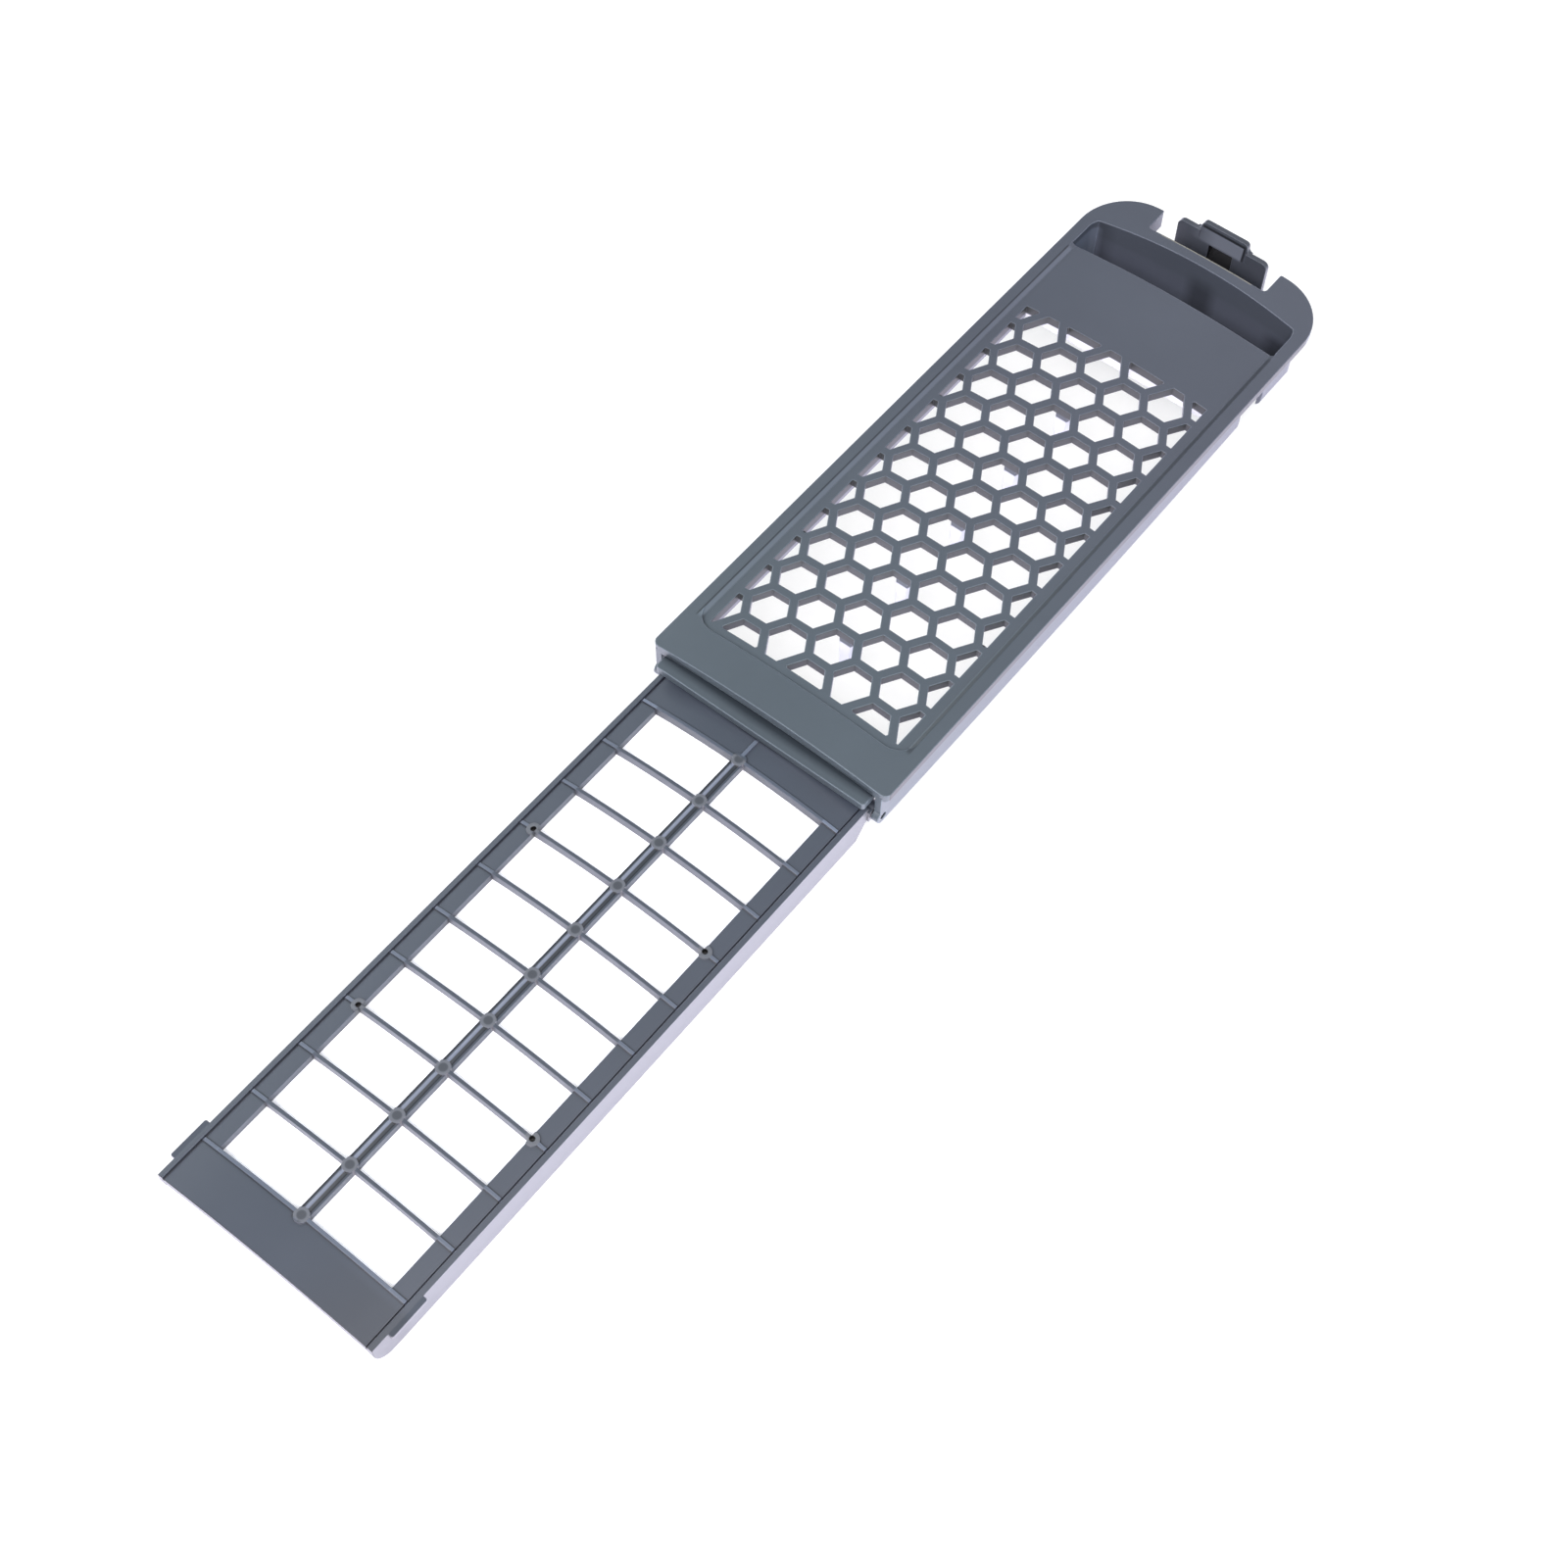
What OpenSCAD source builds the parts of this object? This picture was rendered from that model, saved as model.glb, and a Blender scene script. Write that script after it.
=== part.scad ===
// Hinged lint filter cassette of a washing machine, opened flat on a table.
// X runs across the cassette, Y along it towards the handle and Z up from the table.
// The hinge crosses the cassette. The rear frame turns down and under, and closes inside the front walls.

/* [Front frame] */
// Width over the front frame
frame_w = 68.6; // [64:0.1:80]
// Height of the front frame's crown above the table
frame_h = 16.86; // [16:0.02:20]
// Radius of the crown across the honeycomb panel
crown_r = 267; // [220:1:400]
// Thickness of the moulded skin of the front plate
skin = 1.6; // [1.2:0.1:2]
// Depth of the recess that holds the honeycomb panel
recess_d = 0.8; // [0.4:0.1:1.2]
// Width of the rim beside the recess
rim_w = 3.2; // [3.1:0.1:4.4]
// Width of the slope from the rim down to the panel
step_w = 1.2; // [0.6:0.1:1.6]
// Radius of the recess's corners at the hinge end
recess_r = 6; // [3:0.5:9]
// Width of the rim at the hinge end
rim_hinge = 10.6; // [6:0.1:12]
// Thickness of the side walls
wall_t = 1.4; // [1.2:0.1:1.5]
// Step from the rim's edge in to the side walls
wall_inset = 1.2; // [0.6:0.1:1.3]
// Height of the lowest point of the side walls above the table
wall_low = 2.75; // [2:0.05:4]
// Distance from the zero line to the lowest point of the side walls
wall_belly = 45; // [20:1:70]
// Radius of the bow of the side walls' lower edge
wall_bow = 2600; // [1800:50:4000]

/* [Honeycomb] */
// Pitch of the cells along a column
cell_pitch = 11; // [10:0.1:12.5]
// Width of the ribs between the cells
cell_rib = 2.14; // [1.6:0.02:3]
// Number of whole cells in the middle column
cell_rows = 11; // [8:1:14]
// Depth of the honeycomb ribs
cell_depth = 2.45; // [1.9:0.05:3]
// Distance that the end cells reach past half a pitch
cell_over = 0.5; // [0.2:0.1:1]
// Solid border between the frame's side and the honeycomb
border_w = 6.9; // [6.5:0.1:9]
// Thickness of the wall below the edge of the honeycomb
ring_t = 1.4; // [1:0.1:1.6]
// Plain strip between the zero line at the hinge end and the honeycomb
hinge_strip = 13.2; // [12:0.1:18]
// Plain strip between the honeycomb and the finger pocket
grip_strip = 25.3; // [22:0.1:40]
// Diameter of the spacer posts where they leave the honeycomb
post_d = 4; // [3:0.1:4.6]
// Diameter of the spacer posts at their lower end
post_tip_d = 3.4; // [2.6:0.1:3.8]
// Number of spacer posts
post_count = 5; // [1:1:5]

/* [Handle end] */
// Length of the finger pocket at its middle
pocket_len = 12.6; // [10:0.1:18]
// Radius of the bow of the pocket's end wall
pocket_bow = 225; // [150:5:400]
// Radius of the pocket's upright corners
pocket_r = 5; // [3:0.5:8]
// Thickness of the pocket's walls and floor
pocket_wall = 1.4; // [1.3:0.1:1.6]
// Width of the land between the pocket and the notch
land_w = 3.2; // [2.6:0.1:5]
// Length of the flange beyond the notch's floor
flange_len = 7.7; // [6:0.1:12]
// Radius of the flange's outer corners
flange_r = 14; // [9:0.5:15]
// Radius of the notch's inner corners
notch_r = 1.2; // [0.5:0.1:2]
// Depth of the ribs along both sides of the notch
notch_rib = 5.3; // [4:0.1:6]
// Gap between the end of a side wall and the pocket's side
side_gap = 12.5; // [12.25:0.25:18]

/* [Latch] */
// Width of the latch plate
latch_w = 27.2; // [22:0.2:29]
// Thickness of the latch plate
latch_t = 1.4; // [1.2:0.1:1.8]
// Height of the latch's shoulders above the table
latch_shoulder = 16.5; // [14:0.1:18]
// Width of the raised middle of the latch
latch_mid_w = 14; // [11:0.2:18]
// Height of the raised middle above the table
latch_h = 19; // [18.8:0.1:21]
// Distance that the raised middle leans back
latch_lean = 0.8; // [0.4:0.1:1]
// Width of the catch nose
nose_w = 9.8; // [8:0.2:12]
// Distance that the catch nose stands out
nose_out = 3; // [2:0.1:4]
// Height of the catch nose's upper face above the table
nose_z = 14.1; // [13.5:0.1:14.3]
// Side clearance between the latch and its notch
latch_gap = 4.4; // [3.4:0.1:5]

/* [Hinge] */
// Height of the hinge axis above the table
hinge_z = 5.2; // [4.8:0.05:5.4]
// Distance of the hinge axis inside the zero line
hinge_y = 1; // [0.6:0.1:1.2]
// Radius of the ears round the hinge axis
ear_r = 2.2; // [2:0.1:2.4]
// Radius of the knuckles between the rear frame's arms and the ears
knuckle_r = 2; // [1.8:0.1:2.2]
// Diameter of the stub pins on the rear frame's arms
pin_d = 2; // [1.6:0.1:2.4]
// Diameter of the stub pins on the latch's barrel
latch_pin_d = 1.6; // [1.4:0.1:1.8]
// Radial running clearance of every stub pin
pin_fit = 0.05; // [0.03:0.01:0.08]
// Thickness of the ears
ear_t = 1.8; // [1.5:0.1:2]
// Clearance beside parts that pass each other
side_fit = 0.35; // [0.3:0.05:0.5]
// Clearance above the rear walls when the cassette is closed
fold_gap = 0.4; // [0.35:0.05:0.6]
// Height of the stop ledge's upper face above the table
ledge_top = 12.2; // [12.1:0.1:12.6]
// Thickness of the stop ledge
ledge_t = 2; // [1.4:0.1:2]
// Reach of the stop ledge beyond the front plate
ledge_reach = 3.3; // [2.6:0.1:4]
// Distance between the ends of the stop ledge and the ears
ledge_gap = 0.9; // [0.5:0.1:3]

/* [Rear frame] */
// Distance from the rear frame's lips to the closed front's side walls
lip_gap = 1.4; // [1.3:0.1:1.9]
// Distance that the closed rear frame's end stays short of the finger pocket's opening
rear_short = 2.2; // [2:0.1:3]
// Distance that the feet of the side walls stand out past the lips
wall_draft = 0.4; // [0.2:0.1:0.4]
// Height of the rear frame's bosses above the table
rear_h = 10.1; // [9.8:0.1:10.6]
// Radius of the crown across the rear frame
rear_r = 186; // [170:1:260]
// Thickness of the rear plate
rear_skin = 2.1; // [1.6:0.1:2.4]
// Height of the lips, beads and bosses above the rear plate
raise = 0.4; // [0.2:0.05:0.6]
// Thickness of the rear side walls
rear_wall = 1.3; // [1.1:0.1:1.5]
// Width of the rear border outside the grid openings
rear_border = 5.9; // [5.4:0.1:9]
// Number of grid openings along the rear frame
grid_rows = 10; // [6:1:12]
// Distance from the zero line to the first cross rib
grid_start = 10.3; // [9:0.1:14]
// Plain plate beyond the last cross rib
end_plate = 11.7; // [9:0.1:16]
// Width of the cross ribs
grid_rib = 0.85; // [0.7:0.05:1.4]
// Width of the round middle rib
mid_rib = 3; // [2.6:0.1:3.4]
// Diameter of the bosses on the middle rib
boss_d = 3.6; // [3:0.1:4.4]
// Diameter of the four hollow bosses beside the grid
stud_d = 3.3; // [2.8:0.1:4]
// Bore of the hollow bosses
stud_bore = 1.3; // [1:0.1:1.6]
// Distance of the hollow bosses from the middle plane
stud_x = 24.9; // [24.6:0.1:26]
// Width of the lips along the sides
lip_w = 1.3; // [1:0.1:1.8]
// Width and depth of the groove inside each lip
groove = 0.5; // [0.3:0.05:0.7]
// Length of the side tabs
tab_len = 10.3; // [7:0.1:11]
// Reach of the side tabs beyond the lips
tab_out = 1.2; // [1:0.1:1.6]
// Distance from the free end to the side tabs
tab_inset = 4.7; // [4:0.1:6]

/* [Filter net] */
// Thickness of the net
net_t = 0.4; // [0.3:0.05:0.6]
// Overlap of the net behind the border of the grid
net_lap = 2.5; // [1.5:0.1:4]

/* [Hidden] */
$fn = 64;
arc_fn = 1440;
eps = 0.5;

function sag(r, x) = r - sqrt(r * r - x * x);

// Front frame, across
half_w = frame_w / 2;
rim_t = skin + recess_d;
rim_r = crown_r + recess_d;
panel_top = frame_h - recess_d;
wall_out = half_w - wall_inset;
wall_in = wall_out - wall_t;
window_half = half_w - border_w;
recess_half = half_w - rim_w;
panel_half = recess_half - step_w;
rim_edge_z = frame_h - sag(rim_r, half_w);

// Hinge
plate_hinge = -0.2;
ear_out = wall_out;
ear_in = ear_out - ear_t;
ear_back = hinge_y + ear_r;
pin_end = ear_out - 0.5;
stop_wall_y = 1.2;
stop_wall_t = 1.4;
ledge_y = plate_hinge - ledge_reach;
ledge_half = ear_in - ledge_gap;
ledge_r = 0.8;
arm_out = ear_in - side_fit;

// Where the closed rear frame's parts come to lie
function closed_y(y) = 2 * hinge_y - y;
function closed_z(z) = 2 * hinge_z - z;

// Front frame, along
cell_lead = cell_pitch / 2 + cell_over;
cell_side = (cell_pitch - cell_rib) / sqrt(3);
column_step = cell_pitch * sqrt(3) / 2;
columns = ceil(window_half / column_step);
window_len = (cell_rows - 0.5) * cell_pitch + 2 * cell_lead;
window_end = hinge_strip + window_len;
first_cell = window_end - cell_lead;
pocket_y = window_end + grip_strip;
pocket_end = pocket_y + pocket_len;
pocket_half = recess_half - 0.2;
rear_len = pocket_y - rear_short;
closed_end = closed_y(-rear_len) + side_fit;
pocket_front = pocket_y - pocket_wall;
lug_start = rear_len - 2;
rear_half = wall_in - lip_gap;
rear_foot = rear_half + wall_draft;
lug_in = rear_foot + side_fit;
wall_end = lug_start - side_gap;
notch_y = pocket_end + land_w;
flange_end = notch_y + flange_len;
post_low = closed_z(rear_h - raise - rear_skin - net_t) + fold_gap;
ring_low = closed_z(0) + fold_gap;

// Latch
latch_out = flange_end + latch_t;
barrel_r = latch_pin_d / 2 + 0.7;
barrel_y = pocket_end + pocket_wall + 4.2;
barrel_z = barrel_r + 0.4;
cheek_t = 1.6;
cheek_in = latch_w / 2 + side_fit;
notch_half = latch_w / 2 + latch_gap;
notch_rib_t = 1.3;
horn_r = 0.5;
bend_r = 3;
wave_r = (latch_h - latch_shoulder) / 2;
lean_z = nose_z - 0.7;

// Rear frame
rear_plate_top = rear_h - raise;
rear_under_r = rear_r - rear_skin;
rear_under_top = rear_plate_top - rear_skin;
rear_in = rear_half - rear_wall;
rear_start = -0.6;
lip_start = -1;
foot_start = -5.9;
arm_start = -2.4;
arm_low = hinge_z - 1.7;
bead_start = ledge_y - side_fit;
ridge_r = 0.85;
bore_deep = 1.5;
grid_pitch = (rear_len - grid_start - end_plate) / grid_rows;
grid_half = rear_half - rear_border;
lip_z = rear_h - sag(rear_r, rear_half);
edge_low = lip_z - raise - rear_skin;

// Middle of the whole length, which lies over the origin
middle_y = (latch_out + nose_out - rear_len) / 2;

// Rectangle from one corner to the other with round corners
module rounded(x0, y0, x1, y1, r) {
    translate([x0 + r, y0]) square([x1 - x0 - 2 * r, y1 - y0]);
    translate([x0, y0 + r]) square([x1 - x0, y1 - y0 - 2 * r]);
    for (x = [x0 + r, x1 - r], y = [y0 + r, y1 - r]) {
        translate([x, y]) circle(r);
    }
}

// Everything below a crown whose ridge runs along Y at height top
module under_crown(r, top, y0, y1) {
    translate([0, y1, top - r]) rotate([90, 0, 0]) cylinder(r = r, h = y1 - y0, $fn = arc_fn);
}

// Profile drawn in Y and Z, drawn out along X from x0 to x1
module along_x(x0, x1) {
    translate([x0, 0, 0]) rotate([90, 0, 90]) linear_extrude(x1 - x0) children();
}

// Profile drawn in X and Z, drawn out along Y from y0 to y1
module along_y(y0, y1) {
    translate([0, y1, 0]) rotate([90, 0, 0]) linear_extrude(y1 - y0) children();
}

// Both sides of the middle plane
module both_sides() {
    children();
    mirror([1, 0, 0]) children();
}

// Corners of a cell whose flat sides lie up and down from its middle
function cell_points(up, down) = [
    [-cell_side, 0],
    [-cell_side + up / sqrt(3), up],
    [cell_side - up / sqrt(3), up],
    [cell_side, 0],
    [cell_side - down / sqrt(3), -down],
    [-cell_side + down / sqrt(3), -down]
];

// All cells in plan, cut off at the window's edge
module cells() {
    flat = (cell_pitch - cell_rib) / 2;
    intersection() {
        translate([-window_half, hinge_strip]) square([2 * window_half, window_len]);
        union() {
            for (c = [-columns : columns]) {
                odd = abs(c) % 2;
                for (i = [-odd : cell_rows - odd]) {
                    up = i == 0 && odd == 0 ? cell_lead : flat;
                    down = i == cell_rows - 1 && odd == 1 ? cell_lead : flat;
                    translate([c * column_step, first_cell - (i + odd / 2) * cell_pitch])
                        polygon(cell_points(up, down));
                }
            }
        }
    }
}

// Outline of the front plate
module front_outline() {
    rounded(-half_w, window_end / 2, half_w, flange_end, flange_r);
    rounded(-half_w, plate_hinge, half_w, window_end, 2);
}

// Space above the panel, with a slope up to the rim on both sides
module recess_space() {
    foot_z = panel_top - sag(crown_r, panel_half);
    rise = frame_h - sag(rim_r, recess_half) - foot_z;
    intersection() {
        along_y(rim_hinge, pocket_y + eps)
            polygon([
                [-panel_half, foot_z],
                [panel_half, foot_z],
                [recess_half + step_w, foot_z + 2 * rise],
                [recess_half + step_w, 2 * frame_h],
                [-recess_half - step_w, 2 * frame_h],
                [-recess_half - step_w, foot_z + 2 * rise]
            ]);
        linear_extrude(2 * frame_h) rounded(-recess_half, rim_hinge, recess_half, 2 * pocket_y, recess_r);
    }
}

// Crowned plate with its rim, its recess and the deeper honeycomb
module front_plate() {
    difference() {
        intersection() {
            under_crown(rim_r, frame_h, plate_hinge - 1, flange_end + 1);
            translate([0, 0, 5]) linear_extrude(frame_h) front_outline();
        }
        under_crown(crown_r - skin, panel_top - skin, plate_hinge - 2, flange_end + 2);
        difference() {
            recess_space();
            under_crown(crown_r, panel_top, plate_hinge - 2, flange_end + 2);
        }
    }
    intersection() {
        difference() {
            under_crown(crown_r - skin / 2, panel_top - skin / 2, 0, pocket_y);
            under_crown(crown_r - cell_depth, panel_top - cell_depth, -1, pocket_y + 1);
        }
        translate([-window_half - 0.3, hinge_strip - 0.3, 5])
            cube([2 * window_half + 0.6, window_len + 0.6, frame_h]);
    }
}

// Low wall round the honeycomb, clear of the closed rear frame's walls
module window_ring() {
    intersection() {
        translate([0, 0, ring_low]) linear_extrude(frame_h)
            difference() {
                translate([-window_half - ring_t, hinge_strip - ring_t])
                    square([2 * (window_half + ring_t), window_len + 2 * ring_t]);
                translate([-window_half, hinge_strip]) square([2 * window_half, window_len]);
            }
        under_crown(crown_r - skin / 2, panel_top - skin / 2, 0, pocket_y);
    }
}

// Side walls with a bowed lower edge and a round lower corner at the handle end
module front_walls() {
    top = rim_edge_z - rim_t / 2;
    both_sides() along_x(wall_in, wall_out)
        intersection() {
            union() {
                translate([hinge_y, wall_low]) square([wall_end - 5 - hinge_y, top - wall_low]);
                rounded(wall_end - 20, wall_low, wall_end, top, 3.5);
                translate([wall_end - 20, top - 4]) square([20, 4]);
            }
            translate([wall_belly, wall_low + wall_bow]) circle(wall_bow, $fn = arc_fn);
        }
}

// Ears that carry the hinge, without their bores
module ears() {
    both_sides() along_x(ear_in, ear_out)
        union() {
            translate([hinge_y, hinge_z]) circle(ear_r);
            translate([plate_hinge, hinge_z])
                square([ear_back - plate_hinge, rim_edge_z - rim_t / 2 - hinge_z]);
        }
}

// Wall under the plate's hinge end, and the ledge that stops the rear frame when it lies flat
module stop_ledge() {
    low = ledge_top - ledge_t;
    intersection() {
        translate([-wall_in - eps, stop_wall_y, low]) cube([2 * wall_in + 2 * eps, stop_wall_t, frame_h]);
        under_crown(rim_r - skin, frame_h - skin, 0, 10);
    }
    translate([0, 0, low]) linear_extrude(ledge_t)
        intersection() {
            rounded(-ledge_half, ledge_y, ledge_half, hinge_strip, ledge_r);
            translate([-half_w, ledge_y - 1]) square([frame_w, 1 - ledge_y + stop_wall_y + eps]);
        }
}

// Plan of the finger pocket, grown by a wall
module pocket_plan(grow) {
    intersection() {
        rounded(-pocket_half - grow, 0, pocket_half + grow, pocket_end + grow, pocket_r + grow);
        translate([0, pocket_end - pocket_bow]) circle(pocket_bow + grow, $fn = arc_fn);
    }
}

// Pocket box below the plate, and the cheeks that reach forward beside the closed rear frame
module pocket_box() {
    intersection() {
        linear_extrude(frame_h) pocket_plan(pocket_wall);
        union() {
            along_x(-half_w, half_w)
                polygon([
                    [closed_end, 0],
                    [closed_end, 6],
                    [pocket_front, 12],
                    [pocket_front, frame_h],
                    [flange_end, frame_h],
                    [flange_end, 0]
                ]);
            both_sides() translate([lug_in, lug_start, 0]) cube([4, 20, frame_h]);
        }
        along_y(0, flange_end)
            rounded(-pocket_half - pocket_wall, 0, pocket_half + pocket_wall, frame_h + 20, 3);
        under_crown(rim_r - skin, frame_h - skin, 0, flange_end);
    }
}

// Inside of the finger pocket, whose front wall leans like the outside
module pocket_space() {
    intersection() {
        linear_extrude(frame_h + 10) pocket_plan(0);
        along_x(-half_w, half_w)
            polygon([
                [closed_end + pocket_wall, 0],
                [closed_end + pocket_wall, 6],
                [pocket_y, panel_top - 1],
                [pocket_y, frame_h + 10],
                [flange_end, frame_h + 10],
                [flange_end, 0]
            ]);
        along_y(0, flange_end) rounded(-pocket_half, pocket_wall, pocket_half, frame_h + 20, 2);
    }
}

// Cheeks that hold the latch's barrel, without their bores
module latch_cheeks() {
    both_sides() along_x(cheek_in, cheek_in + cheek_t)
        rounded(pocket_end, 0.3, barrel_y + 2, barrel_z + 1.7, 0.8);
}

// Ribs below the flange on both sides of the notch
module notch_ribs() {
    intersection() {
        both_sides()
            translate([notch_half, pocket_end + eps, frame_h - sag(rim_r, notch_half) - notch_rib])
                cube([notch_rib_t, flange_end - pocket_end - eps, frame_h]);
        under_crown(rim_r - skin / 2, frame_h - skin / 2, 0, flange_end);
    }
}

// Notch in front of the latch, with round corners at its floor and at the tips of the flange
module notch_space() {
    translate([0, 0, barrel_z + 2]) linear_extrude(frame_h)
        union() {
            rounded(-notch_half, notch_y, notch_half, flange_end + 10, notch_r);
            both_sides() difference() {
                translate([notch_half - eps, flange_end - horn_r]) square([horn_r + eps, 4]);
                translate([notch_half + horn_r, flange_end - horn_r]) circle(horn_r);
            }
        }
}

module front_frame() {
    color([0.40, 0.43, 0.47])
    difference() {
        union() {
            front_plate();
            window_ring();
            front_walls();
            ears();
            stop_ledge();
            pocket_box();
            notch_ribs();
            latch_cheeks();
            for (i = [0 : post_count - 1]) {
                translate([0, first_cell - (1.5 + 2 * i) * cell_pitch, post_low])
                    cylinder(d1 = post_tip_d, d2 = post_d, h = panel_top - eps - post_low);
            }
        }
        linear_extrude(frame_h + 10) cells();
        pocket_space();
        notch_space();
        translate([-half_w - 1, hinge_y, hinge_z]) rotate([0, 90, 0])
            cylinder(d = pin_d + 2 * pin_fit, h = frame_w + 2);
        translate([-half_w, barrel_y, barrel_z]) rotate([0, 90, 0])
            cylinder(d = latch_pin_d + 2 * pin_fit, h = frame_w);
    }
}

// Side view of the latch: barrel, foot, bend and upright plate
module latch_side() {
    translate([barrel_y, barrel_z]) circle(barrel_r);
    translate([barrel_y, 0.9]) square([latch_out - bend_r - barrel_y, latch_t]);
    intersection() {
        difference() {
            translate([latch_out - bend_r, 0.9 + bend_r]) circle(bend_r);
            translate([latch_out - bend_r, 0.9 + bend_r]) circle(bend_r - latch_t);
        }
        translate([latch_out - bend_r, 0.9]) square([bend_r, bend_r]);
    }
    translate([latch_out - latch_t, 0.9 + bend_r]) square([latch_t, latch_h - 0.9 - bend_r]);
}

// Side view of the raised middle, which leans back from its root
module middle_side() {
    polygon([
        [latch_out - latch_t, lean_z - 1],
        [latch_out, lean_z - 1],
        [latch_out, lean_z],
        [latch_out + latch_lean, latch_h],
        [latch_out + latch_lean - latch_t, latch_h],
        [latch_out - latch_t, lean_z]
    ]);
}

// Front view of the latch below the raised middle
module shoulder_front() {
    difference() {
        rounded(-latch_w / 2, 0, latch_w / 2, latch_shoulder, 1.8);
        translate([-latch_mid_w / 2, lean_z]) square([latch_mid_w, latch_h]);
    }
}

// Front view of the raised middle, with a wave down to both shoulders
module middle_front() {
    rounded(-latch_mid_w / 2, barrel_z, latch_mid_w / 2, latch_h, wave_r);
    both_sides() difference() {
        translate([latch_mid_w / 2 - eps, latch_shoulder - eps]) square([wave_r + eps, wave_r + eps]);
        translate([latch_mid_w / 2 + wave_r, latch_shoulder + wave_r]) circle(wave_r);
    }
}

module latch() {
    nose_wall = 1.3;
    color([0.36, 0.39, 0.43])
    difference() {
        union() {
            intersection() {
                along_x(-latch_w, latch_w) latch_side();
                along_y(barrel_y - 5, latch_out + 1) shoulder_front();
            }
            intersection() {
                along_x(-latch_w, latch_w) middle_side();
                along_y(barrel_y, latch_out + 5) middle_front();
            }
            along_x(-nose_w / 2, nose_w / 2)
                polygon([
                    [latch_out - eps, nose_z],
                    [latch_out + nose_out, nose_z - 0.4],
                    [latch_out + nose_out, nose_z - 1.8],
                    [latch_out - eps, nose_z - 8.5]
                ]);
            translate([-cheek_in - cheek_t + 0.3, barrel_y, barrel_z]) rotate([0, 90, 0])
                cylinder(d = latch_pin_d, h = 2 * (cheek_in + cheek_t - 0.3));
        }
        along_x(-nose_w / 2 + nose_wall, nose_w / 2 - nose_wall)
            polygon([
                [latch_out - 3, nose_z - 1],
                [latch_out + nose_out - 1.2, nose_z - 1],
                [latch_out + nose_out - 1.2, nose_z - 2.2],
                [latch_out - latch_t - eps, nose_z - 8.2],
                [latch_out - 3, nose_z - 8.2]
            ]);
    }
}

function rib_y(i) = -grid_start - i * grid_pitch;

// Side view of the rear frame's walls, from the free end to the hinge
module rear_side() {
    top = rear_h + 2;
    translate([-rear_len + edge_low, 0]) square([rear_len - edge_low + foot_start, top]);
    translate([-rear_len + edge_low, edge_low]) circle(edge_low);
    translate([-rear_len, edge_low]) square([edge_low, top - edge_low]);
    polygon([
        [foot_start - 1, 0],
        [foot_start, 0],
        [arm_start, arm_low],
        [rear_start, arm_low],
        [rear_start, top],
        [foot_start - 1, top]
    ]);
}

// End view of the rear frame, whose walls lean out towards their feet
module rear_end() {
    polygon([
        [-rear_foot, 0],
        [rear_foot, 0],
        [rear_half, lip_z - raise],
        [rear_half, rear_h + 2],
        [-rear_half, rear_h + 2],
        [-rear_half, lip_z - raise]
    ]);
}

// Everything of the rear frame that stands above its plate
module rear_raised() {
    intersection() {
        under_crown(rear_r + raise, rear_h, -rear_len, rear_start);
        union() {
            for (s = [-1, 1]) {
                translate([s * (rear_half - lip_w / 2) - lip_w / 2, -rear_len, edge_low])
                    cube([lip_w, rear_len + lip_start, rear_h]);
            }
            for (i = [0 : grid_rows]) {
                translate([-rear_half + eps, rib_y(i) - grid_rib / 2, edge_low])
                    cube([2 * rear_half - 2 * eps, grid_rib, rear_h]);
            }
            translate([-0.4, rib_y(0), edge_low]) cube([0.8, grid_start + bead_start, rear_h]);
            for (i = [3, grid_rows - 3]) {
                both_sides() translate([stud_x, rib_y(i), edge_low]) cylinder(d = stud_d, h = rear_h);
            }
        }
    }
    for (i = [0 : grid_rows]) {
        translate([0, rib_y(i), edge_low]) cylinder(d = boss_d, h = rear_h - edge_low);
    }
    translate([0, rib_y(0), rear_plate_top + 0.35 - ridge_r]) rotate([90, 0, 0])
        cylinder(r = ridge_r, h = grid_rows * grid_pitch);
}

// Hinge arm with its knuckle beside the ear, and its stub pin
module arm() {
    along_x(rear_in, arm_out)
        union() {
            translate([hinge_y, hinge_z]) circle(knuckle_r);
            translate([rear_start - 1, arm_low]) square([hinge_y - rear_start + 1, 2 * (hinge_z - arm_low)]);
        }
    translate([rear_in + eps, hinge_y, hinge_z]) rotate([0, 90, 0])
        cylinder(d = pin_d, h = pin_end - rear_in - eps);
}

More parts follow.
